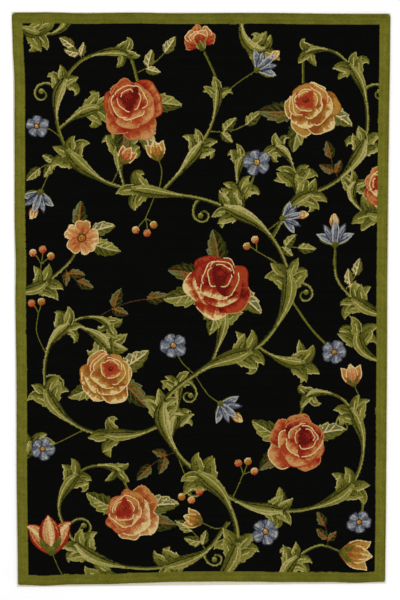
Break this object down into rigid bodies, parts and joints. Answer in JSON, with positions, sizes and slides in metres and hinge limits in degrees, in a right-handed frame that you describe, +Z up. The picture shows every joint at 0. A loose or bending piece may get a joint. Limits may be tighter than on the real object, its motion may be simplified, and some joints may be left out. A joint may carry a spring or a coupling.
{
  "type": "hooked rug",
  "caption": "Flat rectangular hooked wool rug on a cotton backing, with a plain border round a field of flowers and scrolling leaves.",
  "frame": {"origin": "on the floor, under the middle of the rug's bounding box", "axes": "+Z up out of the pile, +Y along the length towards the head of the rug, +X across its width"},
  "size_m": [1.1516, 1.771, 0.0092],
  "materials": {
    "wool_pile": "matt hooked wool loops, olive border round a black field with flowers and leaves",
    "cotton_backing": "matt cream cotton canvas"
  },
  "bodies": {
    "root": {"hooked_cloth": "wool_pile", "backing_cloth": "cotton_backing"}
  },
  "joints": []
}
